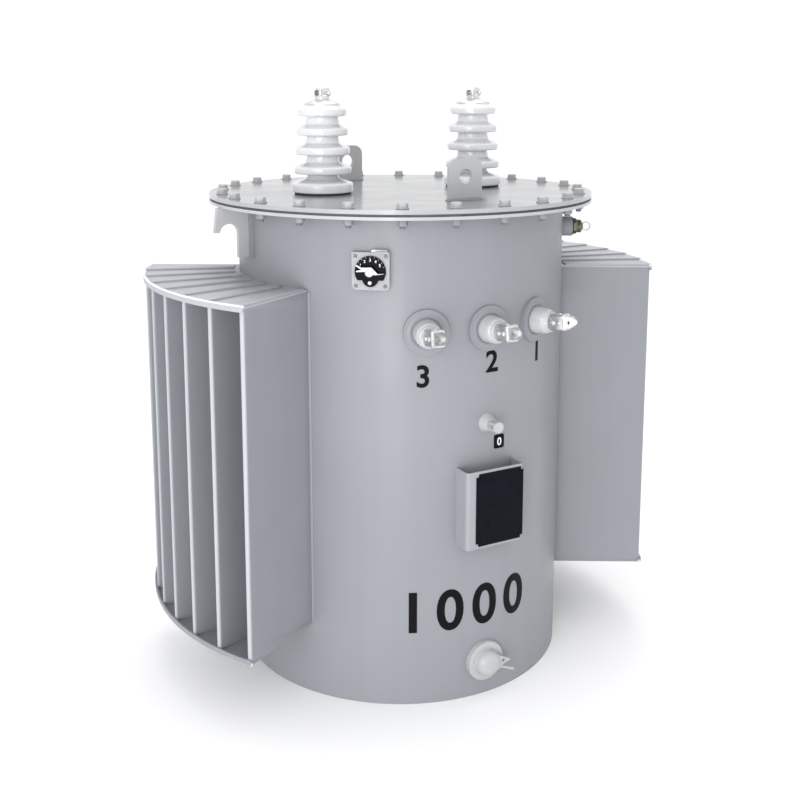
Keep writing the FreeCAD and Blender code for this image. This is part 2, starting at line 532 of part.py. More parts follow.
# ---- Front wall fittings: grounding boss and clamp, small plate, nameplate on its bracket ------
def front_fittings():
    boss = cut("ground_cut",
               fuse("ground_solid",
                    cylinder("ground_root", "groundRadius", "over", ("0", "0", "-over")),
                    cone("ground_cone", "groundRadius", "groundNose", "groundProud")),
               tank_tool("ground_wall"),
               cylinder("ground_bore", "groundStud", "groundInside + over",
                        ("0", "0", "groundProud - groundInside")))
    part(on_wall(boss, "0", "groundHeight"), "ground_boss")

    back = "(groundProud + groundFree)"
    eyelet = fuse(
        "eyelet_solid",
        cylinder("eyelet_stud", "groundStud", "groundInside + groundFree + lap",
                 ("0", "0", "groundProud - groundInside")),
        box("eyelet_block", "eyeletWide", "eyeletWide", "eyeletLong",
            ("-eyeletWide / 2", "-eyeletWide / 2", back)),
        cylinder("eyelet_head", "eyeletHead", "headThick", ("0", "0", f"{back} + eyeletLong")),
    )
    hole = cylinder("eyelet_cable", "eyeletHole", "2 * eyeletWide",
                    ("-eyeletWide", "0", f"{back} + eyeletLong / 2"), ("0; 1; 0", "90"))
    part(on_wall(cut("eyelet_cut", eyelet, hole), "0", "groundHeight"), "ground_clamp")

    tag = cut("tag_cut",
              box("tag_block", "tagWide", "tagHigh", "tagThick + over",
                  ("-tagWide / 2", "-tagHigh / 2", "-over")), tank_tool("tag_wall"))
    part(on_wall(tag, "tagAngle", "tagHeight"), "small_plate")

    inner = "(frameWide / 2 - frameBend)"
    depth = "(frameWide ^ 2 / (8 * tankRadius) + over)"
    reach = f"(frameStand + {depth})"
    outside = fuse(
        "frame_outside",
        box("frame_middle", f"2 * {inner}", "frameHigh", reach, (f"-{inner}", "0", f"-{depth}")),
        box("frame_wide", "frameWide", "frameHigh", f"{reach} - frameBend",
            ("-frameWide / 2", "0", f"-{depth}")),
        *[cylinder(f"frame_bend_{n}", "frameBend", "frameHigh",
                   (f"{n} * {inner}", "frameHigh", "frameStand - frameBend"),
                   ("1; 0; 0", "90")) for n in (-1, 1)],
    )
    deep = "(frameBend - frameThick)"
    hollow = fuse(
        "frame_hollow",
        box("hollow_middle", f"2 * {inner}", "frameHigh + 2 * over",
            f"{reach} + over - frameThick", (f"-{inner}", "-over", f"-{depth} - over")),
        box("hollow_wide", "frameWide - 2 * frameThick", "frameHigh + 2 * over",
            f"{reach} + over - frameBend",
            ("-frameWide / 2 + frameThick", "-over", f"-{depth} - over")),
        *[cylinder(f"hollow_bend_{n}", deep, "frameHigh + 2 * over",
                   (f"{n} * {inner}", "frameHigh + over", "frameStand - frameBend"),
                   ("1; 0; 0", "90")) for n in (-1, 1)],
    )
    bracket = cut("frame_cut", outside, hollow, tank_tool("frame_wall"))
    part(on_wall(bracket, "0", "frameLow"), "plate_bracket")

    low = "(frameHigh - plateHigh) / 2"
    plate = fuse(
        "plate_solid",
        box("plate_tall", "plateWide - 2 * plateNotch", "plateHigh", "plateThick",
            ("plateShift - plateWide / 2 + plateNotch", low, "frameStand")),
        box("plate_broad", "plateWide", "plateHigh - 2 * plateNotch", "plateThick",
            ("plateShift - plateWide / 2", f"{low} + plateNotch", "frameStand")),
    )
    part(on_wall(plate, "0", "frameLow"), "nameplate")


# ---- Drain: pad on the wall and a domed boss with a drilled ear --------------------------------
def drain():
    pad = cut("drain_pad_cut",
              cylinder("drain_pad_solid", "drainPad", "drainPadProud + over", ("0", "0", "-over")),
              tank_tool("drain_wall"))
    part(on_wall(pad, "0", "drainHeight"), "drain_pad")
    ear_back = "(drainPadProud + drainLong / 2 - earThick / 2)"
    body = fuse(
        "drain_body",
        cylinder("drain_base", "drainBody", "drainLong - drainRound", ("0", "0", "drainPadProud")),
        cone("drain_dome", "drainBody", "drainBody - drainRound", "drainRound",
             ("0", "0", "drainPadProud + drainLong - drainRound")),
        add("Part::Wedge", "drain_ear", ("drainBody - drainRound", "0", ear_back),
            ("0; 0; 1", "-90"), Xmin="-earRoot / 2", Xmax="earRoot / 2", Ymin="0",
            Ymax="earLong + drainRound", Zmin="0", Zmax="earThick", X2min="-earTip / 2",
            X2max="earTip / 2", Z2min="0", Z2max="earThick"),
    )
    hole = cylinder("ear_hole", "earHole", "3 * earThick",
                    ("drainBody + earHoleOut", "0", f"{ear_back} - earThick"))
    part(on_wall(cut("drain_cut", body, hole), "0", "drainHeight"), "drain_boss")


# ---- Relief valve on its welded stub, with a pull ring -----------------------------------------
def relief():
    stub = cut("stub_cut", cylinder("stub_solid", "stubRadius", "stubLong + over",
                                    ("0", "0", "-over")), tank_tool("stub_wall"))
    part(on_wall(stub, "reliefAngle", "reliefHeight"), "relief_stub")
    ring_middle = "(stubLong + reliefLong + pullHole)"
    body = fuse(
        "relief_body",
        cylinder("relief_collar", "reliefCollar", "collarThick", ("0", "0", "stubLong")),
        cylinder("relief_barrel", "reliefRadius", "reliefLong", ("0", "0", "stubLong")),
        cylinder("relief_ring", "pullRing", "pullThick",
                 ("-pullThick / 2", "0", f"{ring_middle}"), ("0; 1; 0", "90")),
    )
    hole = cylinder("relief_ring_hole", "pullHole", "5 * pullThick",
                    ("-2.5 * pullThick", "0", f"{ring_middle}"), ("0; 1; 0", "90"))
    body = cut("relief_cut", body, hole)
    part(on_wall(body, "reliefAngle", "reliefHeight"), "relief_valve")


tank()
high_voltage()
cover_lugs()
hooks()
banks()
low_voltage()
tap_changer()
front_fittings()
drain()
relief()
doc.recompute()

# ---- Every object must be sound before any piece is written ------------------------------------
for obj in doc.Objects:
    if "Invalid" in obj.State or "Error" in obj.State:
        sys.exit(f"{obj.Name} ({obj.Label}) failed: {obj.State}")
os.makedirs("parts", exist_ok=True)
for piece in parts:
    if piece.Shape.isNull() or not piece.Shape.isValid() or not piece.Shape.Solids:
        sys.exit(f"{piece.Label} has no sound solid")
for piece in parts:
    piece.Shape.exportStep(f"parts/{piece.Label}.step")
print(len(parts), "pieces")
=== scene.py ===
import math
from itertools import product

import bmesh
import bpy
from bpy.props import (FloatProperty, FloatVectorProperty, IntProperty, PointerProperty,
                       StringProperty)
from mathutils import Matrix, Vector


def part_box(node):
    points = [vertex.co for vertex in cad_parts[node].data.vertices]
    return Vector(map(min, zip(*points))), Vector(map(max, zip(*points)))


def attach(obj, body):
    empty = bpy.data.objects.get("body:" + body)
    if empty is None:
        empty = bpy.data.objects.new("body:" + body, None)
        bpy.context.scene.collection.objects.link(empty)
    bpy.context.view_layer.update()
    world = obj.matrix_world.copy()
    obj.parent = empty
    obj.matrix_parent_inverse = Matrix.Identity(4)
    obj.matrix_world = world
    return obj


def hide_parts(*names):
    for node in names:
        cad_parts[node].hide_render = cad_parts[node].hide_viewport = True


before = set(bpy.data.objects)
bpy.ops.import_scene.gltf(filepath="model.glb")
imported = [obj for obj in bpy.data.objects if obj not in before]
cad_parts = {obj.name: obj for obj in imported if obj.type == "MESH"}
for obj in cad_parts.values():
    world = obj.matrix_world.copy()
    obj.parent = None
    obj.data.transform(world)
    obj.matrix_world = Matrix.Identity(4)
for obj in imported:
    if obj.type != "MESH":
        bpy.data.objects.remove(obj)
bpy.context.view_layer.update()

bl_info = {
    "name": "Distribution transformer",
    "version": (1, 0, 0),
    "blender": (4, 5, 0),
    "location": "3D View > Sidebar > Transformer",
    "description": "Finishes and small parts of an oil-filled distribution transformer",
    "category": "Object",
}


def centre_of(node):
    """Middle of a CAD node's box."""
    low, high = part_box(node)
    return [(a + b) / 2 for a, b in zip(low, high)]


COVER_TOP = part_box("cover")[1].z
FLANGE_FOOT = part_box("tank_flange")[0].z
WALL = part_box("tank_bottom")[1].x + 0.005   # outer radius of the tank's wall
FIN_FOOT, FIN_TOP = (corner.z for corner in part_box("left_fin_1"))
LV_HEIGHT = centre_of("lv_porcelain_2")[2]
LV_ANGLES = {"3": math.radians(-21), "2": 0.0, "1": math.radians(21)}
# how far each terminal's number stands to the right of its bushing and below it
LV_MARKS = {"3": (-0.006, 0.086), "2": (0.010, 0.067), "1": (0.012, 0.066)}
# how far each connector leans to the right, how far all of them lean up, and their lengths
LV_LEAN = {"3": math.radians(13), "2": math.radians(-3), "1": math.radians(-6)}
LV_TILT = math.radians(-8)
LV_LONG = {"3": 0.86, "2": 0.90, "1": 0.76}
TAP_ANGLE = math.radians(-38)
TAP_HEIGHT = centre_of("tap_handle")[2]
RELIEF_ANGLE = math.radians(61)
TAG_ANGLE = math.radians(4.8)
RATING_ANGLE, RATING_HEIGHT = math.radians(-4.6), 0.196
SIDES = (("left", -1), ("right", 1))
FINS = 8
FIN_STEP = math.radians(8.46)
MIDDLE_FIN = (FINS - 1) / 2
BANK_HALF = FIN_STEP * MIDDLE_FIN
SEAM = 0.00002      # corners nearer than this are one corner
QUARTER = math.pi / 2
# the font's size and how far its outline is thickened, each for figures one unit tall
FONT_SIZE, FONT_WEIGHT = 1.4, 0.03


# ---- Sizes and colours a user may change ---------------------------------------------------------
class PaintColours(bpy.types.PropertyGroup):
    tank: FloatVectorProperty(
        name="Tank", description="Paint of the tank and its fittings", subtype="COLOR",
        size=3, min=0, max=1, default=(0.240, 0.249, 0.271))
    cover: FloatVectorProperty(
        name="Cover", description="Glossier paint of the cover", subtype="COLOR",
        size=3, min=0, max=1, default=(0.200, 0.205, 0.218))
    glaze: FloatVectorProperty(
        name="Glaze", description="Glaze of the porcelain bushings", subtype="COLOR",
        size=3, min=0, max=1, default=(0.62, 0.63, 0.645))


class BoltSizes(bpy.types.PropertyGroup):
    count: IntProperty(
        name="Bolts", description="Bolts round the cover", default=24, min=8, max=48)
    circle: FloatProperty(
        name="Bolt circle", description="Radius of the bolt circle", unit="LENGTH",
        default=0.385, min=0.36, max=0.40)
    start: FloatProperty(
        name="First bolt", description="Angle of the first bolt from the front",
        subtype="ANGLE", default=math.radians(1.5))
    flats: FloatProperty(
        name="Across flats", description="Width of a bolt head across its flats",
        unit="LENGTH", default=0.019, min=0.01, max=0.03)


class LetteringSizes(bpy.types.PropertyGroup):
    terminal: FloatProperty(
        name="Terminal numbers", description="Height of the numbers under the terminals",
        unit="LENGTH", default=0.043, min=0.02, max=0.08)
    rating: FloatProperty(
        name="Rating number", description="Height of the number low on the front",
        unit="LENGTH", default=0.084, min=0.04, max=0.15)
    rating_text: StringProperty(
        name="Rating", description="Number shown low on the front", default="1000")


class StageSettings(bpy.types.PropertyGroup):
    floor: FloatVectorProperty(
        name="Floor", description="Colour of the floor", subtype="COLOR",
        size=3, min=0, max=1, default=(0.95, 0.95, 0.955))
    key: FloatProperty(
        name="Key light", description="Power of the main soft light", unit="POWER",
        default=46.0, min=0)
    sky: FloatProperty(
        name="Sky", description="Strength of the even white surroundings", default=1.10, min=0)


def settings():
    return bpy.context.scene.transformer_settings


# ---- Modelling helpers ---------------------------------------------------------------------------
def focus(*objects):
    """Selects these objects and nothing else; the first one is active."""
    if bpy.context.object and bpy.context.object.mode != "OBJECT":
        bpy.ops.object.mode_set(mode="OBJECT")
    bpy.ops.object.select_all(action="DESELECT")
    for obj in objects:
        obj.select_set(True)
    bpy.context.view_layer.objects.active = objects[0]


def named(obj, name):
    obj.name = obj.data.name = name
    return obj


def start(add, name, **where):
    """Adds a primitive with nothing else selected, its place in its mesh."""
    bpy.ops.object.select_all(action="DESELECT")
    add(**where)
    obj = named(bpy.context.object, name)
    bpy.ops.object.transform_apply(location=True, rotation=True, scale=True)
    return obj


def block(name, size, centre=(0, 0, 0)):
    return start(bpy.ops.mesh.primitive_cube_add, name, size=1, location=centre, scale=size)


def disc(name, radius, depth, centre, sides):
    return start(bpy.ops.mesh.primitive_cylinder_add, name, vertices=sides, radius=radius,
                 depth=depth, location=centre)


def open_mesh(obj, kind="FACE", chosen="DESELECT"):
    focus(obj)
    bpy.ops.object.mode_set(mode="EDIT")
    bpy.ops.mesh.select_mode(type=kind)
    bpy.ops.mesh.select_all(action=chosen)


def close_mesh():
    bpy.ops.object.mode_set(mode="OBJECT")


def close_outward(weld=False):
    """Turns the open mesh's normals outwards, after welding its seam if asked, and closes it."""
    bpy.ops.mesh.select_all(action="SELECT")
    if weld:
        bpy.ops.mesh.remove_doubles(threshold=SEAM)
    bpy.ops.mesh.normals_make_consistent(inside=False)
    close_mesh()


def pick(obj, test, kind="FACE"):
    """In edit mode, selects the faces, edges or corners that pass a test."""
    bpy.ops.mesh.select_mode(type=kind)
    bpy.ops.mesh.select_all(action="DESELECT")
    mesh = bmesh.from_edit_mesh(obj.data)
    for item in {"FACE": mesh.faces, "EDGE": mesh.edges, "VERT": mesh.verts}[kind]:
        if test(item):
            item.select_set(True)
    mesh.select_flush_mode()
    bmesh.update_edit_mesh(obj.data)


def extrude(x, y, z):
    bpy.ops.mesh.extrude_region_move(TRANSFORM_OT_translate={"value": (x, y, z)})


def resize(x, y, z):
    bpy.ops.transform.resize(value=(x, y, z))


def faces_up(face):
    return face.normal.z > 0.9


def is_level(face):
    return abs(face.normal.z) > 0.9


def rise(edge):
    return abs(edge.verts[0].co.z - edge.verts[1].co.z)


def modify(obj, kind, **values):
    """Adds a modifier, sets it and applies it."""
    focus(obj)
    bpy.ops.object.modifier_add(type=kind)
    modifier = obj.modifiers[-1]
    for key, value in values.items():
        setattr(modifier, key, value)
    bpy.ops.object.modifier_apply(modifier=modifier.name)


def soften(obj, width, segments=2, angle=30):
    """Rounds every edge sharper than an angle and shades the piece."""
    modify(obj, "BEVEL", width=width, segments=segments, limit_method="ANGLE",
           angle_limit=math.radians(angle), use_clamp_overlap=True)
    return shade(obj)


def shade(obj, angle=35):
    focus(obj)
    bpy.ops.object.shade_smooth_by_angle(angle=math.radians(angle))
    return obj


def join(name, *objects):
    focus(*objects)
    bpy.ops.object.join()
    return named(objects[0], name)


def traced(name, points):
    """Opens a new mesh that is a chain of edges through some points."""
    obj = start(bpy.ops.mesh.primitive_plane_add, name, size=0.001)
    open_mesh(obj, "VERT", "SELECT")
    bpy.ops.mesh.merge(type="CENTER")
    bpy.ops.transform.translate(value=points[0])
    for here, there in zip(points, points[1:]):
        extrude(*(b - a for a, b in zip(here, there)))
    bpy.ops.mesh.select_all(action="SELECT")
    return obj


def lathe(name, outline, steps=48, smooth=35):
    """Turns an outline of (radius, height) points a full turn round +Z."""
    obj = traced(name, [(radius, 0, height) for radius, height in outline])
    bpy.ops.mesh.spin(steps=steps, angle=2 * math.pi, center=(0, 0, 0), axis=(0, 0, 1))
    close_outward(weld=True)
    return shade(obj, smooth)


def plate(name, outline, thick, level=0.0):
    """A flat plate cut to an outline of (x, y) points, standing on a height."""
    obj = traced(name, [(x, y, level) for x, y in outline])
    bpy.ops.mesh.edge_face_add()
    extrude(0, 0, thick)
    close_outward()
    return obj


def bead(name, radius, first, span, circle, level, steps):
    """A round bead swept about +Z: it starts at an angle from +X and goes anticlockwise."""
    obj = start(bpy.ops.mesh.primitive_circle_add, name, vertices=10, radius=radius,
                fill_type="NGON", location=(circle, 0, level), rotation=(QUARTER, 0, 0))
    put(obj, turned(first))
    open_mesh(obj, "FACE", "SELECT")
    bpy.ops.mesh.spin(steps=steps, angle=-span, center=(0, 0, 0), axis=(0, 0, 1))
    close_outward(weld=True)
    return shade(obj, 60)


def cut(obj, tool):
    """Takes a tool's shape out of a piece and deletes the tool."""
    modify(obj, "BOOLEAN", operation="DIFFERENCE", object=tool, solver="EXACT")
    remove(tool)


def slotted_screw(name, radius, height, slot):
    """A round screw head with a straight slot, its seat at the origin."""
    head = lathe(name, rounded([(0, 0), (radius, 0), (radius, height * 0.55),
                                (radius * 0.8, height), (0, height)], height * 0.2), 28)
    saw = block("saw", (radius * 2.4, slot, height), (0, 0, height * 1.05))
    cut(head, saw)
    return shade(head)


def drilled(obj, radius, through, turn):
    """Bores a round hole through a piece at a point, along a turned Z axis."""
    tool = disc("tool", radius, 0.12, (0, 0, 0), 28)
    cut(obj, put(tool, moved(*through) @ turn))


def rounded(outline, radius, steps=2):
    """The same outline with its inner corners rounded by arcs of up to a radius."""
    result = [outline[0]]
    for before, here, after in zip(outline, outline[1:], outline[2:]):
        a, b, c = Vector(before), Vector(here), Vector(after)
        reach = min(radius, (a - b).length * 0.45, (c - b).length * 0.45)
        first, last = b + (a - b).normalized() * reach, b + (c - b).normalized() * reach
        for n in range(steps + 1):
            t = n / steps
            point = first * (1 - t) ** 2 + b * 2 * t * (1 - t) + last * t ** 2
            result.append((point.x, point.y))
    result.append(outline[-1])
    return result


def hexagon(name, flats, height, foot):
    """A hexagonal head or nut with its corners chamfered, standing on a height."""
    obj = disc(name, flats / math.sqrt(3), height, (0, 0, foot + height / 2), 6)
    open_mesh(obj)
    pick(obj, is_level)
    bpy.ops.mesh.inset(thickness=flats * 0.07)
    resize(1, 1, 1 + 0.16 * flats / height)
    close_mesh()
    return soften(obj, flats * 0.02)


def moved(x, y, z):
    return Matrix.Translation((x, y, z))


def turned(angle, axis="Z"):
    return Matrix.Rotation(angle, 4, axis)


def wall_frame(angle, height):
    """Local frame of a fitting on the wall: +Z outwards, +Y up, +X to the right."""
    return (moved(WALL * math.sin(angle), -WALL * math.cos(angle), height) @ turned(angle)
            @ turned(QUARTER, "X"))


def put(obj, matrix):
    """Moves a piece by changing its mesh, so that its object stays at the origin."""
    obj.data.transform(matrix)
    obj.data.update()
    return obj


def copy_of(obj, name, matrix):
    twin = obj.copy()
    twin.data = obj.data.copy()
    named(twin, name)
    bpy.context.scene.collection.objects.link(twin)
    return put(twin, matrix)


def finished(obj, finish, body="tank", replaces=()):
    """Gives a piece its finish and the body that carries it."""
    obj.data.materials.clear()
    obj.data.materials.append(bpy.data.materials[finish])
    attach(obj, body)
    if replaces:
        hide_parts(*replaces)


def remove(*objects):
    focus(*objects)
    bpy.ops.object.delete()


# ---- Finishes ------------------------------------------------------------------------------------
class Recipe:
    """A node material built up step by step from Object coordinates."""

    def __init__(self, name, colour, rough, metal=0.0):
        self.material = bpy.data.materials.new(name)
        self.material.use_nodes = True
        self.nodes = self.material.node_tree.nodes
        self.links = self.material.node_tree.links
        self.shader = self.nodes["Principled BSDF"]
        self.shader.inputs["Base Color"].default_value = (*colour, 1)
        self.shader.inputs["Roughness"].default_value = rough
        self.shader.inputs["Metallic"].default_value = metal
        self.material.diffuse_color = (*colour, 1)
        self.place = self.nodes.new("ShaderNodeTexCoord").outputs["Object"]

    def stretched(self, scale):
        node = self.nodes.new("ShaderNodeMapping")
        node.inputs["Scale"].default_value = scale
        self.links.new(self.place, node.inputs["Vector"])
        return node.outputs["Vector"]

    def noise(self, scale, detail, stretch=None, rough=0.5):
        node = self.nodes.new("ShaderNodeTexNoise")
        node.inputs["Scale"].default_value = scale
        node.inputs["Detail"].default_value = detail
        node.inputs["Roughness"].default_value = rough
        self.links.new(self.stretched(stretch) if stretch else self.place, node.inputs["Vector"])
        return node.outputs["Fac"]

    def ranged(self, value, low, high, start=0.3, stop=0.7):
        node = self.nodes.new("ShaderNodeMapRange")
        for socket, number in (("From Min", start), ("From Max", stop),
                               ("To Min", low), ("To Max", high)):
            node.inputs[socket].default_value = number
        self.links.new(value, node.inputs["Value"])
        return node.outputs["Result"]

    def mixed(self, factor, first, second):
        """A colour that runs from first to second; each is a colour or a socket."""
        node = self.nodes.new("ShaderNodeMix")
        node.data_type = "RGBA"
        self.links.new(factor, node.inputs["Factor"])
        for socket, value in ((node.inputs[6], first), (node.inputs[7], second)):
            if isinstance(value, tuple):
                socket.default_value = (*value, 1)
            else:
                self.links.new(value, socket)
        return node.outputs[2]

    def colour(self, value):
        self.links.new(value, self.shader.inputs["Base Color"])

    def roughness(self, value):
        self.links.new(value, self.shader.inputs["Roughness"])

    def bump(self, height, strength, distance=0.001):
        node = self.nodes.new("ShaderNodeBump")
        node.inputs["Strength"].default_value = strength
        node.inputs["Distance"].default_value = distance
        self.links.new(height, node.inputs["Height"])
        if self.shader.inputs["Normal"].is_linked:
            self.links.new(self.shader.inputs["Normal"].links[0].from_socket,
                           node.inputs["Normal"])
        self.links.new(node.outputs["Normal"], self.shader.inputs["Normal"])

    def coat(self, weight, rough):
        self.shader.inputs["Coat Weight"].default_value = weight
        self.shader.inputs["Coat Roughness"].default_value = rough

    def dull(self, level):
        """Weakens the mirror-like part of the gloss."""
        self.shader.inputs["Specular IOR Level"].default_value = level

    def past(self, radius):
        """0 nearer the tank's axis than a radius and 1 beyond it."""
        blend = 0.0015
        node = self.nodes.new("ShaderNodeVectorMath")
        node.operation = "LENGTH"
        self.links.new(self.stretched((1, 1, 0)), node.inputs[0])
        return self.ranged(node.outputs["Value"], 0, 1, radius - blend, radius + blend)


def tinted(colour, factor):
    return tuple(min(1.0, channel * factor) for channel in colour)


def sprayed_paint(name, colour, rough, coat, edge=None):
    """Sprayed enamel: orange peel, soft patches, faint rain streaks and settled dust.

    An edge is a radius from the tank's axis, past which the colour is lightened: a painted
    highlight along the outer edge."""
    recipe = Recipe(name, colour, rough)
    patches = recipe.ranged(recipe.noise(3.2, 4), 0, 1)
    streaks = recipe.ranged(recipe.noise(26, 4, (1, 1, 0.05), 0.6), 0, 1, 0.42, 0.8)
    specks = recipe.ranged(recipe.noise(420, 2), 0, 1, 0.66, 0.74)
    base = recipe.mixed(patches, tinted(colour, 0.965), tinted(colour, 1.035))
    base = recipe.mixed(recipe.ranged(streaks, 0, 0.22, 0, 1), base, tinted(colour, 0.86))
    base = recipe.mixed(recipe.ranged(specks, 0, 0.3, 0, 1), base, tinted(colour, 0.7))
    # Painted highlight: past the edge radius the colour is made 1.75 times lighter, standing in for
    # light along the rim.
    if edge:
        base = recipe.mixed(recipe.past(edge), base, tinted(colour, 1.75))
    recipe.colour(base)
    recipe.roughness(recipe.ranged(recipe.noise(9, 5), rough * 0.85, rough * 1.2))
    recipe.bump(recipe.noise(260, 2), 0.04)
    recipe.bump(recipe.noise(11, 2), 0.03, 0.002)
    recipe.coat(coat, 0.12)
    recipe.dull(0.3)


def glazed(name, colour):
    """Fired glaze: glassy, slightly wavy, with a faint cloud and pinholes."""
    recipe = Recipe(name, colour, 0.12)
    cloud = recipe.ranged(recipe.noise(14, 3), 0, 1)
    base = recipe.mixed(cloud, tinted(colour, 0.95), tinted(colour, 1.03))
    pins = recipe.ranged(recipe.noise(700, 1), 0, 0.5, 0.72, 0.78)
    recipe.colour(recipe.mixed(pins, base, (0.5, 0.47, 0.43)))
    recipe.roughness(recipe.ranged(recipe.noise(40, 3), 0.08, 0.2))
    recipe.bump(recipe.noise(60, 2), 0.05, 0.002)
    recipe.coat(0.7, 0.04)


def bare_metal(name, colour, rough, stretch=(1, 1, 12), wear=(0.25, 0.24, 0.22)):
    """Plated or machined metal: fine tool lines, dull patches, grime in pits."""
    recipe = Recipe(name, colour, rough, 1.0)
    lines = recipe.noise(240, 3, stretch)
    dull = recipe.ranged(recipe.noise(60, 5), 0, 1, 0.35, 0.7)
    grime = recipe.ranged(recipe.noise(150, 6, None, 0.7), 0, 0.5, 0.6, 0.75)
    base = recipe.mixed(dull, tinted(colour, 1.05), tinted(colour, 0.82))
    recipe.colour(recipe.mixed(grime, base, wear))
    recipe.roughness(recipe.ranged(lines, rough * 0.75, rough * 1.35))
    recipe.bump(lines, 0.12, 0.0003)


def moulded(name, colour, rough, grain, bump=0.2, dust=(0.3, 0.3, 0.3), level=0.5):
    """Rubber or moulded plastic: fine grain with a little dust."""
    recipe = Recipe(name, colour, rough)
    recipe.dull(level)
    cloud = recipe.ranged(recipe.noise(35, 4), 0, 1)
    settled = recipe.ranged(recipe.noise(90, 6, None, 0.65), 0, 0.16, 0.5, 0.75)
    base = recipe.mixed(cloud, tinted(colour, 0.85), tinted(colour, 1.2))
    recipe.colour(recipe.mixed(settled, base, dust))
    recipe.roughness(recipe.ranged(recipe.noise(55, 3), rough * 0.8, rough * 1.25))
    recipe.bump(recipe.noise(grain, 2), bump, 0.0003)


class TRANSFORMER_OT_finishes(bpy.types.Operator):
    """Makes the finishes and gives every piece of the frame its own"""
    bl_idname = "transformer.finishes"
    bl_label = "Finishes"

    def execute(self, context):
        colours = settings().paint
        sprayed_paint("grey enamel", tuple(colours.tank), 0.42, 0.06)
        # Past 0.5455 m from the axis this paint is lightened: a painted highlight on the fins'
        # rolled outer edges.
        sprayed_paint("fin enamel", tuple(colours.tank), 0.42, 0.06, 0.5455)
        # Far lighter than the tank's paint: a painted highlight on the bank rims and the tap hood.
        sprayed_paint("painted highlight enamel", (0.74, 0.755, 0.78), 0.3, 0.4)
        # Lighter than the tank's paint: a painted highlight on the bolts, lugs, hooks, drain and
        # ground.
        sprayed_paint("lug enamel with painted highlight", (0.40, 0.405, 0.415), 0.34, 0.2)
        # Lighter than the tank's paint: a painted highlight on the banks' top faces and folds.
        sprayed_paint("bank enamel with painted highlight", (0.365, 0.376, 0.405), 0.4, 0.1)
        # A little lighter than the tank's paint: painted light on the nameplate bracket.
        sprayed_paint("bracket enamel with painted light", (0.29, 0.30, 0.325), 0.4, 0.1)
        # Lighter than the tank's paint: a painted highlight on the flange's edge.
        sprayed_paint("flange enamel with painted highlight", (0.40, 0.41, 0.43), 0.36, 0.3)
        # Past 0.4085 m from the axis this paint is lightened: a painted highlight on the cover's
        # edge band.
        sprayed_paint("cover enamel", tuple(colours.cover), 0.24, 0.4, 0.4085)
        glazed("white glaze", tuple(colours.glaze))
        glazed("grey glaze", tinted(colours.glaze, 0.76))
        bare_metal("tinned bronze", (0.70, 0.70, 0.70), 0.36)
        bare_metal("zinc plate", (0.58, 0.59, 0.60), 0.40)
        bare_metal("dark brass", (0.17, 0.165, 0.12), 0.42, wear=(0.05, 0.05, 0.04))
        bare_metal("polished alloy", (0.44, 0.45, 0.46), 0.34, (14, 1, 1))
        moulded("black rubber", (0.022, 0.022, 0.026), 0.62, 900, level=0.3)
        moulded("grey rubber", (0.095, 0.097, 0.104), 0.62, 900, level=0.3)
        moulded("black dial", (0.004, 0.004, 0.006), 0.24, 1600, 0.08, (0.02, 0.02, 0.024), 0.05)
        moulded("black nameplate", (0.005, 0.005, 0.009), 0.24, 1400, 0.06,
                (0.012, 0.012, 0.016), 0.05)
        moulded("pale dial plate", (0.29, 0.30, 0.325), 0.34, 1200, 0.1, (0.24, 0.24, 0.25))
        moulded("black lettering", (0.003, 0.003, 0.004), 0.42, 700, 0.15,
                (0.012, 0.012, 0.012), 0.1)
        moulded("white marks", (0.80, 0.81, 0.80), 0.4, 900, 0.1, (0.6, 0.6, 0.6))
        rules = [
            ("cover_gasket", "grey rubber"), ("hv_ring", "black rubber"),
            ("cover_lug", "lug enamel with painted highlight"), ("lift_hook", "lug enamel with painted highlight"),
            ("drain", "lug enamel with painted highlight"), ("ground", "lug enamel with painted highlight"),
            ("plate_bracket", "bracket enamel with painted light"), ("tank_flange", "flange enamel with painted highlight"),
            ("left_bank_top", "bank enamel with painted highlight"), ("right_bank_top", "bank enamel with painted highlight"),
            ("cover", "cover enamel"), ("hv_porcelain", "white glaze"),
            ("lv_porcelain", "grey glaze"), ("hv_terminal", "tinned bronze"),
            ("lv_terminal", "tinned bronze"), ("tap_plate", "pale dial plate"),
            ("tap_dial", "black dial"), ("tap_handle", "polished alloy"),
            ("nameplate", "black nameplate"), ("small_plate", "black nameplate"),
            ("relief_valve", "dark brass"),
        ]
        for name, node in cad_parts.items():
            finish = next((f for start, f in rules if name.startswith(start)), "grey enamel")
            node.data.materials.clear()
            node.data.materials.append(bpy.data.materials[finish])
        return {"FINISHED"}


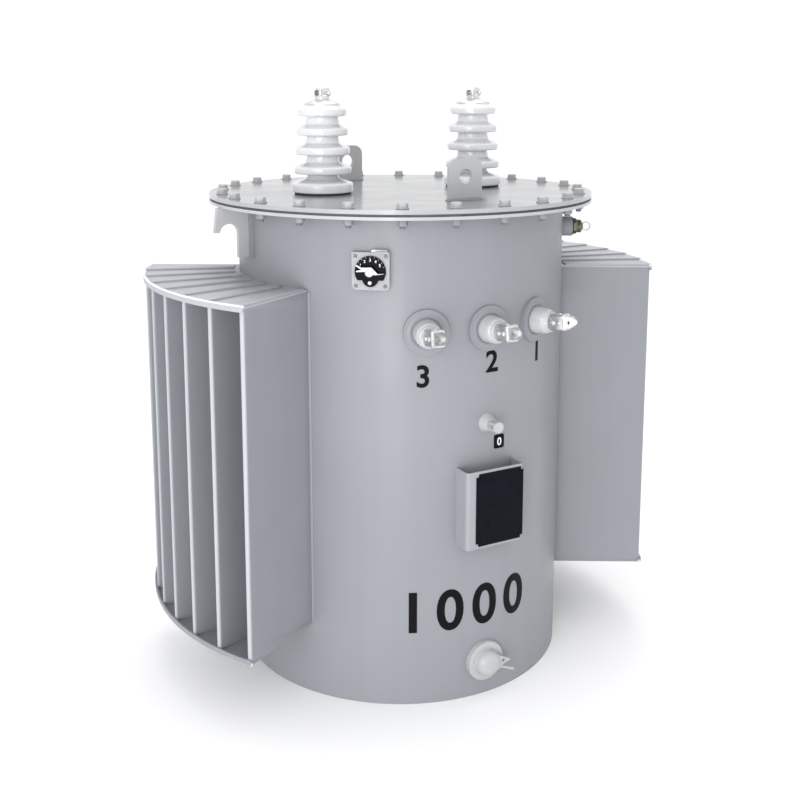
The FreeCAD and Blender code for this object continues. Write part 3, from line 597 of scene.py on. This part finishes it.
# ---- Cover ---------------------------------------------------------------------------------------
class TRANSFORMER_OT_cover_bolts(bpy.types.Operator):
    """Adds the hexagonal bolts round the cover and their nuts under the flange"""
    bl_idname = "transformer.cover_bolts"
    bl_label = "Cover bolts"

    def execute(self, context):
        sizes = settings().bolts
        outline = [(0, 0), (0.0125, 0), (0.0125, 0.0025), (0, 0.0025)]
        washer = lathe("washer", rounded(outline, 0.0006), 24)
        head = hexagon("head", sizes.flats, 0.0075, 0.0025)
        crown = lathe("crown", [(0, 0.0118), (0.004, 0.0116), (0.0075, 0.0108), (0.0082, 0.0095),
                                (0.0082, 0.009), (0, 0.009)], 24)
        bolt = join("bolt", washer, head, crown)
        outline = [(0, 0), (0.0115, 0), (0.0115, -0.002), (0, -0.002)]
        ring = lathe("ring", rounded(outline, 0.0005), 24)
        nut = hexagon("nut", sizes.flats * 0.95, 0.0095, -0.0115)
        thread = [(0, -0.011)]
        for turn in range(5):
            top = -0.0115 - turn * 0.0012
            thread += [(0.0052, top), (0.006, top - 0.0006)]
        thread += [(0.005, -0.0182), (0, -0.0186)]
        end = lathe("end", thread, 20, 60)
        lower = join("lower", ring, nut, end)
        for n in range(sizes.count):
            angle = sizes.start + n * 2 * math.pi / sizes.count
            spin = turned(n * 1.1)
            at = moved(sizes.circle * math.sin(angle), -sizes.circle * math.cos(angle),
                       COVER_TOP)
            # The bolt heads take the lighter enamel, a painted highlight on their tops.
            finished(copy_of(bolt, f"cover_bolt_{n + 1:02d}", at @ spin), "lug enamel with painted highlight")
            beside_hook = abs(math.cos(angle)) <= math.sin(math.radians(4))
            if not beside_hook:
                under = moved(0, 0, FLANGE_FOOT - COVER_TOP) @ at
                finished(copy_of(lower, f"cover_nut_{n + 1:02d}", under @ spin), "grey enamel")
        remove(bolt, lower)
        return {"FINISHED"}


class TRANSFORMER_OT_weld_beads(bpy.types.Operator):
    """Adds the weld beads under the flange and round the cover lugs"""
    bl_idname = "transformer.weld_beads"
    bl_label = "Weld beads"

    def execute(self, context):
        away = math.radians(4.5)
        for n in (0, 1):
            weld = bead(f"flange_weld_{n + 1}", 0.004, away + n * math.pi, math.pi - 2 * away,
                        WALL + 0.0005, FLANGE_FOOT - 0.0005, 72)
            finished(weld, "grey enamel")
        for side, sign in SIDES:
            for end, turn in (("front", -1), ("rear", 1)):
                weld = disc(f"{side}_bank_weld_{end}", 0.004, FIN_TOP - FIN_FOOT,
                            (0, -WALL, (FIN_FOOT + FIN_TOP) / 2), 10)
                open_mesh(weld)
                pick(weld, is_level)
                bpy.ops.mesh.inset(thickness=0.0012)
                resize(1, 1, 0.999)
                close_mesh()
                put(weld, turned(sign * (QUARTER + turn * (BANK_HALF + 0.006 / WALL))))
                finished(shade(weld, 50), "grey enamel")
        for end in ("front", "rear"):
            low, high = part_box("cover_lug_" + end)
            x, y, _ = centre_of("cover_lug_" + end)
            weld = block(f"lug_weld_{end}",
                         (high.x - low.x + 0.006, high.y - low.y + 0.009, 0.005),
                         (x, y, COVER_TOP + 0.0025))
            open_mesh(weld)
            pick(weld, faces_up)
            resize(0.93, 0.5, 1)
            close_mesh()
            finished(soften(weld, 0.0012), "cover enamel")
        return {"FINISHED"}


# ---- Cooling banks -------------------------------------------------------------------------------
class TRANSFORMER_OT_fins(bpy.types.Operator):
    """Replaces each plain fin by one with pressed faces and a rolled outer edge"""
    bl_idname = "transformer.fins"
    bl_label = "Cooling fins"

    def execute(self, context):
        outer, thick = 0.547, 0.012
        fin = block("fin", (thick, outer - WALL, FIN_TOP - FIN_FOOT),
                    (0, -(WALL + outer) / 2, (FIN_FOOT + FIN_TOP) / 2))
        open_mesh(fin)
        pick(fin, lambda face: abs(face.normal.x) > 0.9)
        bpy.ops.mesh.inset(thickness=0.019)
        resize(0.72, 1, 1)
        pick(fin, lambda edge: abs(edge.verts[0].co.y + outer) < 0.001 and rise(edge) > 0.1,
             "EDGE")
        bpy.ops.mesh.bevel(offset=0.0048, segments=4)
        close_mesh()
        soften(fin, 0.0012, 2, 8)
        for side, sign in SIDES:
            for n in range(FINS):
                angle = sign * (QUARTER - FIN_STEP * (MIDDLE_FIN - n))
                name = f"{side}_fin_{n + 1}"
                finished(copy_of(fin, f"{name}_pressed", turned(angle)),
                         "fin enamel", replaces=(name,))
        remove(fin)
        return {"FINISHED"}


class TRANSFORMER_OT_bank_tops(bpy.types.Operator):
    """Adds the folded tops of the fins and the rolled rims of the end plates"""
    bl_idname = "transformer.bank_tops"
    bl_label = "Bank tops"

    def execute(self, context):
        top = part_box("left_bank_top")[1].z
        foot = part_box("left_bank_bottom")[0].z
        rim = -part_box("left_bank_top")[0].x
        inner, outer = WALL + 0.011, rim - 0.004
        lap = math.radians(0.45)    # how far a fold reaches over the fin before it
        low_side, high_side = 0.0005, 0.0042    # above the bank's top
        fold = block("fold", (1, 1, 1))
        open_mesh(fold, "VERT")
        for side, reach, level in product((-1, 1), repeat=3):
            turn = FIN_STEP * (side + 1) / 2 - lap
            radius = (inner if reach < 0 else outer) / math.cos(turn - FIN_STEP / 2)
            height = -0.001 if level < 0 else low_side if side > 0 else high_side
            goal = Vector((radius * math.sin(turn), -radius * math.cos(turn), top + height))
            spot = Vector((side, reach, level)) / 2
            pick(fold, lambda v, spot=spot: (v.co - spot).length < 0.01, "VERT")
            bpy.ops.transform.translate(value=goal - spot)
        close_outward()
        soften(fold, 0.0009)
        for side, sign in SIDES:
            for n in range(FINS - 1):
                angle = QUARTER - FIN_STEP * (MIDDLE_FIN - n)
                twin = copy_of(fold, f"{side}_bank_fold_{n + 1}", turned(angle))
                if sign < 0:
                    put(twin, Matrix.Scale(-1, 4, (1, 0, 0)))
                    open_mesh(twin)
                    close_outward()
                # The folds take the lighter bank enamel, a painted highlight.
                finished(shade(twin), "bank enamel with painted highlight")
        remove(fold)

        half = BANK_HALF + math.radians(0.7)
        for side, sign in SIDES:
            for end, level in (("top", top - 0.0010), ("bottom", foot + 0.0015)):
                roll = bead(f"{side}_bank_rim_{end}", 0.0036, math.pi * (sign < 0) - half,
                            2 * half, rim - 0.0035, level, 40)
                # The rolled rims take the pale enamel, a painted highlight.
                finished(roll, "painted highlight enamel")
        return {"FINISHED"}


# ---- Bushings ------------------------------------------------------------------------------------
class TRANSFORMER_OT_high_voltage(bpy.types.Operator):
    """Turns the glazed high-voltage porcelains and their caps and connectors"""
    bl_idname = "transformer.high_voltage"
    bl_label = "High-voltage bushings"

    def execute(self, context):
        neck, foot = 0.0325, 0.063
        outline = [(0, -0.07), (0.027, -0.07), (0.027, 0.004), (foot, 0.004), (foot, 0.021),
                   (foot - 0.004, 0.025), (0.036, 0.031), (neck + 0.001, 0.036)]
        for shed in range(4):
            rim = 0.060 - 0.003 * shed
            low = 0.043 + 0.0395 * shed
            outline += [(neck, low - 0.003), (rim - 0.006, low - 0.001), (rim - 0.001, low),
                        (rim, low + 0.013), (rim - 0.007, low + 0.0165),
                        (neck + 0.003, low + 0.022)]
        outline += [(neck, 0.1805), (0, 0.1805)]
        body = lathe("body", rounded(outline, 0.0030, 3), 64, 60)
        outline = [(0, 0.1805), (0.037, 0.1805), (0.037, 0.1855), (0.035, 0.187),
                   (0.021, 0.1925), (0.017, 0.1935), (0, 0.1935)]
        cap = lathe("cap", rounded(outline, 0.0012, 3))
        nut = hexagon("nut", 0.0275, 0.008, 0.1935)
        eye = block("eye", (0.030, 0.020, 0.012), (0, 0, 0.2070))
        open_mesh(eye)
        pick(eye, faces_up)
        extrude(0.002, 0, 0.006)
        resize(0.62, 0.8, 1)
        pick(eye, faces_up)
        bpy.ops.mesh.inset(thickness=0.002)
        close_mesh()
        soften(eye, 0.0016, 3)
        bore = disc("bore", 0.0062, 0.06, (0, 0, 0.2075), 32)
        open_mesh(bore, "FACE", "SELECT")
        bpy.ops.transform.rotate(value=QUARTER, orient_axis="Y",
                                 center_override=(0, 0, 0.2075))
        close_mesh()
        cut(eye, bore)
        shade(eye)
        screw = lathe("screw", rounded([(0, 0), (0.0045, 0), (0.0045, 0.006), (0.0032, 0.007),
                                        (0, 0.007)], 0.0006), 20)
        put(screw, moved(0.006, -0.0135, 0.206) @ turned(QUARTER, "X") @ moved(0, 0, -0.0035))
        metal = join("metal", cap, nut, eye, screw)
        for side in ("left", "right"):
            x, y, _ = centre_of("hv_terminal_" + side)
            at = moved(x, y, COVER_TOP)
            finished(copy_of(body, f"hv_bushing_{side}", at), "white glaze",
                     replaces=(f"hv_porcelain_{side}",))
            finished(copy_of(metal, f"hv_connector_{side}", at @ turned(0.35)),
                     "tinned bronze", replaces=(f"hv_terminal_{side}",))
        remove(body, metal)
        return {"FINISHED"}


class TRANSFORMER_OT_low_voltage(bpy.types.Operator):
    """Turns the low-voltage porcelains and adds their seats and clamp screws"""
    bl_idname = "transformer.low_voltage"
    bl_label = "Low-voltage bushings"

    def execute(self, context):
        outline = [(0, -0.045), (0.018, -0.045), (0.018, 0.005), (0.027, 0.005),
                   (0.0272, 0.012), (0.0255, 0.030), (0.0235, 0.036), (0.0225, 0.0365),
                   (0.021, 0.0385), (0.0205, 0.043), (0, 0.043)]
        body = lathe("body", rounded(outline, 0.0015, 3), 56, 50)
        outline = [(0.0275, 0.0045), (0.030, 0.0062), (0.034, 0.0064), (0.038, 0.0050)]
        seat = lathe("seat", rounded(outline, 0.0015, 3), 56, 50)
        for number, angle in LV_ANGLES.items():
            at = wall_frame(angle, LV_HEIGHT)
            finished(copy_of(body, f"lv_bushing_{number}", at), "grey glaze",
                     replaces=(f"lv_porcelain_{number}",))
            finished(copy_of(seat, f"lv_seat_{number}", at), "grey enamel")
        remove(body, seat)

        face, back, long, nose = 0.043, 0.049, 0.040, 0.034
        thread = [(0, face - 0.001)]
        for turn in range(5):
            thread += [(0.0072, face + turn * 0.0014), (0.008, face + turn * 0.0014 + 0.0007)]
        thread += [(0.0072, back + 0.001), (0, back + 0.001)]
        stud = lathe("stud", thread, 24, 60)
        clamp = block("clamp", (0.028, 0.032, long), (0, 0, back + long / 2))
        open_mesh(clamp)
        pick(clamp, faces_up)
        bpy.ops.mesh.inset(thickness=0.003)
        extrude(0, 0, 0.004)
        resize(0.82, 0.82, 1)
        extrude(0, 0, nose * 0.35)
        resize(0.92, 1.05, 1)
        extrude(0, 0, nose * 0.65 - 0.004)
        resize(0.26, 0.22, 1)
        pick(clamp, lambda edge: rise(edge) > long * 0.9, "EDGE")
        bpy.ops.mesh.bevel(offset=0.005, segments=3)
        close_mesh()
        up, side = turned(QUARTER, "X"), turned(QUARTER, "Y")
        drilled(clamp, 0.008, (0, 0, back + long / 2), up)
        drilled(clamp, 0.0032, (0, 0, back + long + nose * 0.45), side)
        soften(clamp, 0.0009, 2, 25)
        outline = [(0, -0.004), (0.0052, -0.004), (0.0052, 0.003), (0.0044, 0.0038),
                   (0.0030, 0.0038), (0.0028, 0.0004), (0, 0.0002)]
        screw = lathe("screw", rounded(outline, 0.0005), 24)
        screws = [copy_of(screw, f"screw_{n}", moved(sign * 0.0138, 0, back + along)
                          @ turned(sign * QUARTER, "Y"))
                  for n, (along, sign) in enumerate(product((0.010, 0.030), (-1, 1)))]
        remove(screw)
        metal = join("metal", clamp, stud, *screws)
        for number, angle in LV_ANGLES.items():
            lean = (moved(0, 0, face) @ turned(LV_LEAN[number], "Y")
                    @ turned(LV_TILT, "X") @ Matrix.Scale(LV_LONG[number], 4, (0, 0, 1))
                    @ moved(0, 0, -face))
            finished(copy_of(metal, f"lv_connector_{number}",
                             wall_frame(angle, LV_HEIGHT) @ lean),
                     "tinned bronze", replaces=(f"lv_terminal_{number}",))
        remove(metal)
        return {"FINISHED"}


# ---- Tap changer ---------------------------------------------------------------------------------
class TRANSFORMER_OT_tap_changer(bpy.types.Operator):
    """Adds the forked handle, the dial's marks and the plate's screws"""
    bl_idname = "transformer.tap_changer"
    bl_label = "Tap changer"

    def execute(self, context):
        at = wall_frame(TAP_ANGLE, TAP_HEIGHT)
        face, dial = 0.010, 0.015
        back = dial + 0.005
        outline = [(-0.0240, 0.0150), (-0.0150, 0.0096), (0.0043, 0.0104), (0.0165, -0.0020),
                   (0.0275, -0.0010), (0.0275, -0.0026), (0.0150, -0.0042),
                   (0.0006, -0.0050), (-0.0085, 0.0012), (-0.0250, 0.0004),
                   (-0.0252, 0.0034), (-0.0150, 0.0052), (-0.0258, 0.0122)]
        fork = plate("fork", outline, 0.0055, back)
        open_mesh(fork)
        pick(fork, faces_up)
        bpy.ops.mesh.inset(thickness=0.0006)
        bpy.ops.transform.translate(value=(0, 0, 0.0008))
        close_mesh()
        shade(fork, 25)
        outline = [(0, -0.02), (0.006, -0.02), (0.006, back), (0.0085, back + 0.001),
                   (0.0085, back + 0.0066), (0.006, back + 0.0072), (0, back + 0.0072)]
        hub = lathe("hub", rounded(outline, 0.0006), 36)
        handle = put(join("tap_fork", fork, hub), at)
        finished(handle, "polished alloy", "handle", ("tap_handle",))

        numbers = []
        for n in range(5):
            turn = math.radians(146 - 28 * n)
            digit = lettering(f"digit_{n + 1}", str(n + 1), 0.0078, 0.0001, 0.0003)
            numbers.append(put(digit, moved(0.0222 * math.cos(turn), 0.0222 * math.sin(turn),
                                            dial + 0.0002)))
        for n in range(9):
            turn = math.radians(160 - 17.5 * n)
            tick = block(f"tick_{n}", (0.0018, 0.0005, 0.0004), (0.0277, 0, dial + 0.0002))
            numbers.append(put(tick, turned(turn)))
        marks = put(join("dial_marks", *numbers), at)
        finished(marks, "white marks")

        lock = slotted_screw("lock_screw", 0.0042, 0.003, 0.0011)
        put(lock, at @ moved(-0.0005, -0.021, dial) @ turned(0.6))
        finished(lock, "polished alloy")
        screw = slotted_screw("plate_screw", 0.0034, 0.0022, 0.0010)
        for n, (x, y) in enumerate([(-0.029, 0.029), (0.029, 0.029), (-0.028, -0.028),
                                    (0.028, -0.028)]):
            spot = at @ moved(x, y, face) @ turned(0.7 * n)
            finished(copy_of(screw, f"plate_screw_{n + 1}", spot), "dark brass")
        remove(screw)
        outline = [(0.002, 0.0372), (0.031, 0.0372), (0.032, 0.0382), (0.031, 0.0405),
                   (0.004, 0.0412), (0.001, 0.0392)]
        hood = plate("tap_hood", outline, 0.012)
        # The hood takes the pale enamel, a painted highlight along its top.
        finished(put(soften(hood, 0.0008), at), "painted highlight enamel")
        outline = [(0.0284, dial - 0.001), (0.0295, dial - 0.001), (0.0295, dial),
                   (0.0290, dial + 0.0005), (0.0284, dial)]
        bezel = lathe("dial_bezel", rounded(outline, 0.0002), 64)
        open_mesh(bezel, "FACE", "SELECT")
        bpy.ops.mesh.bisect(plane_co=(0, -0.0165, 0), plane_no=(0, 1, 0), clear_inner=True,
                            use_fill=True)
        close_mesh()
        finished(put(bezel, at), "black dial")
        return {"FINISHED"}


# ---- Front fittings ------------------------------------------------------------------------------
class TRANSFORMER_OT_front_fittings(bpy.types.Operator):
    """Adds the nameplate's border and rivets and the small plate's figure"""
    bl_idname = "transformer.front_fittings"
    bl_label = "Nameplate and small plate"

    def execute(self, context):
        low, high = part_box("nameplate")
        x, _, z = centre_of("nameplate")
        wide, tall = high.x - low.x, high.z - low.z
        at = moved(x, low.y, z) @ turned(QUARTER, "X")
        band = block("plate_band", (wide - 0.012, 0.0028, 0.0006), (0, tall / 2 - 0.0165, 0.0002))
        border = block("plate_border", (wide - 0.010, tall - 0.010, 0.0008))
        open_mesh(border)
        pick(border, faces_up)
        bpy.ops.mesh.inset(thickness=0.0012)
        bpy.ops.transform.translate(value=(0, 0, -0.0006))
        close_mesh()
        trim = put(join("nameplate_border", border, band), at)
        finished(soften(trim, 0.0001, 1), "black nameplate")
        rivet = lathe("rivet", [(0, -0.0006), (0.0023, -0.0006), (0.0023, 0.0002),
                                (0.0019, 0.0009), (0.0010, 0.0013), (0, 0.0014)], 20, 60)
        inset = 0.0095
        for n, (across, up) in enumerate(product((-1, 1), repeat=2)):
            spot = at @ moved(across * (wide / 2 - inset), up * (tall / 2 - inset), 0.0003)
            finished(copy_of(rivet, f"nameplate_rivet_{n + 1}", spot), "black nameplate")
        remove(rivet)

        tag = wall_frame(TAG_ANGLE, centre_of("small_plate")[2])
        card = block("small_plate_card", (0.024, 0.028, 0.0022), (0, 0, 0.0009))
        open_mesh(card)
        pick(card, lambda edge: rise(edge) > 0.001, "EDGE")
        bpy.ops.mesh.bevel(offset=0.0035, segments=4)
        close_mesh()
        soften(card, 0.0003)
        finished(put(card, tag), "black nameplate", replaces=("small_plate",))
        figure = lettering("small_plate_figure", "0", 0.022, 0.0003, 0.0003)
        finished(put(figure, tag @ moved(0, 0, 0.0021)), "white marks")
        return {"FINISHED"}


class TRANSFORMER_OT_drain(bpy.types.Operator):
    """Turns the drain's domed boss and adds its ear and pin"""
    bl_idname = "transformer.drain"
    bl_label = "Drain"

    def execute(self, context):
        at = wall_frame(0, centre_of("drain_pad")[2])
        outline = [(0, 0.006), (0.0290, 0.006), (0.0290, 0.0085), (0.0272, 0.010),
                   (0.0268, 0.016), (0.0255, 0.0215), (0.0225, 0.0265), (0.0175, 0.0300),
                   (0.0110, 0.0316), (0.0050, 0.0320), (0, 0.0320)]
        dome = lathe("dome", outline, 56, 60)
        outline = [(0.016, 0.0165), (0.034, 0.0070), (0.0505, -0.0020), (0.0500, -0.0045),
                   (0.034, -0.0085), (0.024, -0.0180), (0.012, -0.0170)]
        ear = plate("ear", outline, 0.006, 0.017)
        soften(ear, 0.0012)
        drilled(ear, 0.0038, (0.033, 0, 0.02), Matrix.Identity(4))
        shade(ear)
        outline = [(0.0270, 0.0075), (0.0385, 0.0075), (0.0400, 0.0085), (0.0385, 0.0095),
                   (0.0270, 0.0092), (0.0270, 0.0075)]
        rim = lathe("rim", outline, 56, 60)
        finished(put(join("drain_cap", dome, ear, rim), at), "lug enamel with painted highlight",
                 replaces=("drain_boss",))
        outline = [(0, 0), (0.0026, 0), (0.0026, 0.034), (0.0034, 0.035), (0.0034, 0.039),
                   (0, 0.039)]
        pin = lathe("drain_pin", rounded(outline, 0.0006), 18, 50)
        put(pin, at @ moved(0.024, -0.0120, 0.019) @ turned(math.radians(28))
            @ turned(QUARTER, "Y") @ turned(0.9, "X"))
        finished(pin, "lug enamel with painted highlight")
        return {"FINISHED"}


class TRANSFORMER_OT_relief_valve(bpy.types.Operator):
    """Makes the relief valve's gasket, body and pull ring"""
    bl_idname = "transformer.relief_valve"
    bl_label = "Relief valve"

    def execute(self, context):
        at = wall_frame(RELIEF_ANGLE, centre_of("relief_stub")[2])
        foot = 0.024
        seat = [(0, foot), (0.0192, foot), (0.0192, foot + 0.003), (0, foot + 0.003)]
        gasket = lathe("relief_gasket", rounded(seat, 0.0006), 40)
        finished(put(gasket, at), "black rubber")
        nut = hexagon("nut", 0.030, 0.006, foot + 0.003)
        outline = [(0, 0.008), (0.0142, 0.008), (0.0142, 0.013), (0.0128, 0.0135),
                   (0.0128, 0.0145), (0.0142, 0.015), (0.0142, 0.019), (0.0105, 0.022),
                   (0.0060, 0.023), (0.0060, 0.0245), (0, 0.0245)]
        outline = [(radius, foot + level) for radius, level in outline]
        barrel = lathe("barrel", rounded(outline, 0.0008), 40)
        finished(put(join("relief_body", nut, barrel), at), "dark brass",
                 replaces=("relief_valve",))
        ring = bead("relief_ring", 0.0014, 0, 2 * math.pi, 0.0088, 0, 40)
        put(ring, at @ moved(0, 0, 0.0555) @ turned(QUARTER, "Y"))
        finished(ring, "zinc plate")
        return {"FINISHED"}


# ---- Lettering -----------------------------------------------------------------------------------
def lettering(name, text, size, weight, thick=0.0004, spacing=1.0):
    """Flat text made a mesh, centred on the origin, with a little thickness."""
    bpy.ops.object.select_all(action="DESELECT")
    bpy.ops.object.text_add()
    obj = bpy.context.object
    obj.data.body = text
    obj.data.align_x = "CENTER"
    obj.data.align_y = "CENTER"
    obj.data.size = size
    obj.data.extrude = thick / 2
    obj.data.offset = weight
    obj.data.space_character = spacing
    obj.data.resolution_u = 6
    bpy.ops.object.convert(target="MESH")
    obj = named(bpy.context.object, name)
    low = Vector([min(v.co[i] for v in obj.data.vertices) for i in range(3)])
    high = Vector([max(v.co[i] for v in obj.data.vertices) for i in range(3)])
    return put(obj, moved(*-(low + high) / 2))


def wrap(obj, angle, height):
    """Bends a flat piece round the tank wall after slicing it into narrow strips."""
    lift, strip = 0.0004, 0.008     # its middle off the wall, the width of a strip
    xs = [v.co.x for v in obj.data.vertices]
    open_mesh(obj, "FACE", "SELECT")
    slices = int((max(xs) - min(xs)) / strip)
    for n in range(1, slices):
        bpy.ops.mesh.select_all(action="SELECT")
        at = min(xs) + (max(xs) - min(xs)) * n / slices
        bpy.ops.mesh.bisect(plane_co=(at, 0, 0), plane_no=(1, 0, 0))
    close_mesh()
    for vertex in obj.data.vertices:
        x, y, z = vertex.co
        turn, radius = angle + x / WALL, WALL + z + lift
        vertex.co = (radius * math.sin(turn), -radius * math.cos(turn), height + y)
    obj.data.update()
    return obj


class TRANSFORMER_OT_lettering(bpy.types.Operator):
    """Adds the terminal numbers and the rating number on the wall"""
    bl_idname = "transformer.lettering"
    bl_label = "Numbers on the wall"

    def execute(self, context):
        sizes = settings().lettering
        for number, angle in LV_ANGLES.items():
            text = lettering(f"terminal_number_{number}", number, sizes.terminal * FONT_SIZE,
                             sizes.terminal * FONT_WEIGHT)
            aside, drop = LV_MARKS[number]
            wrap(text, angle + aside / WALL, LV_HEIGHT - drop)
            finished(text, "black lettering")
        text = lettering("rating_number", sizes.rating_text, sizes.rating * FONT_SIZE,
                         sizes.rating * FONT_WEIGHT, spacing=1.3)
        wrap(text, RATING_ANGLE, RATING_HEIGHT)
        finished(text, "black lettering")
        return {"FINISHED"}


# ---- Stage ---------------------------------------------------------------------------------------
class TRANSFORMER_OT_stage(bpy.types.Operator):
    """Adds the floor, the soft lights, the surroundings and the camera"""
    bl_idname = "transformer.stage"
    bl_label = "Stage"

    def light(self, name, power, size, spot, aim=(0, 0, 0.6)):
        bpy.ops.object.select_all(action="DESELECT")
        bpy.ops.object.light_add(type="AREA", location=spot)
        lamp = bpy.context.object
        lamp.name = name
        lamp.data.energy = power
        lamp.data.shape = "DISK"
        lamp.data.size = size
        lamp.rotation_euler = (Vector(aim) - Vector(spot)).to_track_quat("-Z", "Y").to_euler()

    def execute(self, context):
        values = settings().stage
        floor = start(bpy.ops.mesh.primitive_plane_add, "studio_floor", size=80)
        recipe = Recipe("pale floor", tuple(values.floor), 0.7)
        shift = recipe.ranged(recipe.noise(0.6, 3), 0, 1)
        recipe.colour(recipe.mixed(shift, tinted(values.floor, 0.99), tinted(values.floor, 1.01)))
        floor.data.materials.append(recipe.material)

        world = bpy.data.worlds.new("white surroundings")
        world.use_nodes = True
        back = world.node_tree.nodes["Background"]
        back.inputs["Color"].default_value = (1, 1, 1, 1)
        back.inputs["Strength"].default_value = values.sky
        context.scene.world = world
        self.light("key_light", values.key, 2.6, (-2.6, -2.3, 1.30))
        self.light("low_light", values.key * 0.28, 0.7, (-1.5, -2.2, 0.38), (0, 0, 0.55))
        self.light("top_light", values.key * 0.75, 2.6, (0.4, 0.6, 3.6))
        context.scene.view_settings.view_transform = "Standard"

        azimuth, away, height = math.radians(-29.072), 2.3888, 1.2259
        tilt, yaw = math.radians(9.574), math.radians(0.019)
        bpy.ops.object.camera_add()
        camera = context.object
        camera.name = "camera"
        camera.location = (away * math.sin(azimuth), -away * math.cos(azimuth), height)
        camera.rotation_euler = (QUARTER - tilt, 0, azimuth + yaw)
        camera.data.lens = 49.52
        camera.data.sensor_width = 36
        camera.data.shift_y = -0.16
        context.scene.camera = camera
        return {"FINISHED"}


class TransformerSettings(bpy.types.PropertyGroup):
    paint: PointerProperty(type=PaintColours)
    bolts: PointerProperty(type=BoltSizes)
    lettering: PointerProperty(type=LetteringSizes)
    stage: PointerProperty(type=StageSettings)


OPERATORS = (
    TRANSFORMER_OT_finishes, TRANSFORMER_OT_cover_bolts, TRANSFORMER_OT_weld_beads,
    TRANSFORMER_OT_fins, TRANSFORMER_OT_bank_tops, TRANSFORMER_OT_high_voltage,
    TRANSFORMER_OT_low_voltage, TRANSFORMER_OT_tap_changer, TRANSFORMER_OT_front_fittings,
    TRANSFORMER_OT_drain, TRANSFORMER_OT_relief_valve, TRANSFORMER_OT_lettering,
    TRANSFORMER_OT_stage,
)


class TRANSFORMER_PT_panel(bpy.types.Panel):
    """Lists the transformer's sizes and the steps that build it"""
    bl_idname = "TRANSFORMER_PT_panel"
    bl_label = "Transformer"
    bl_space_type = "VIEW_3D"
    bl_region_type = "UI"
    bl_category = "Transformer"

    def draw(self, context):
        for group in ("paint", "bolts", "lettering", "stage"):
            values = getattr(context.scene.transformer_settings, group)
            box = self.layout.box()
            for name in values.__annotations__:
                box.prop(values, name)
        for operator in OPERATORS:
            self.layout.operator(operator.bl_idname)


CLASSES = (PaintColours, BoltSizes, LetteringSizes, StageSettings, TransformerSettings,
           *OPERATORS, TRANSFORMER_PT_panel)


def register():
    for cls in CLASSES:
        bpy.utils.register_class(cls)
    bpy.types.Scene.transformer_settings = PointerProperty(type=TransformerSettings)


def unregister():
    del bpy.types.Scene.transformer_settings
    for cls in reversed(CLASSES):
        bpy.utils.unregister_class(cls)


def main():
    register()
    for operator in OPERATORS:
        space, name = operator.bl_idname.split(".")
        getattr(getattr(bpy.ops, space), name)()


if __name__ == "__main__":
    main()
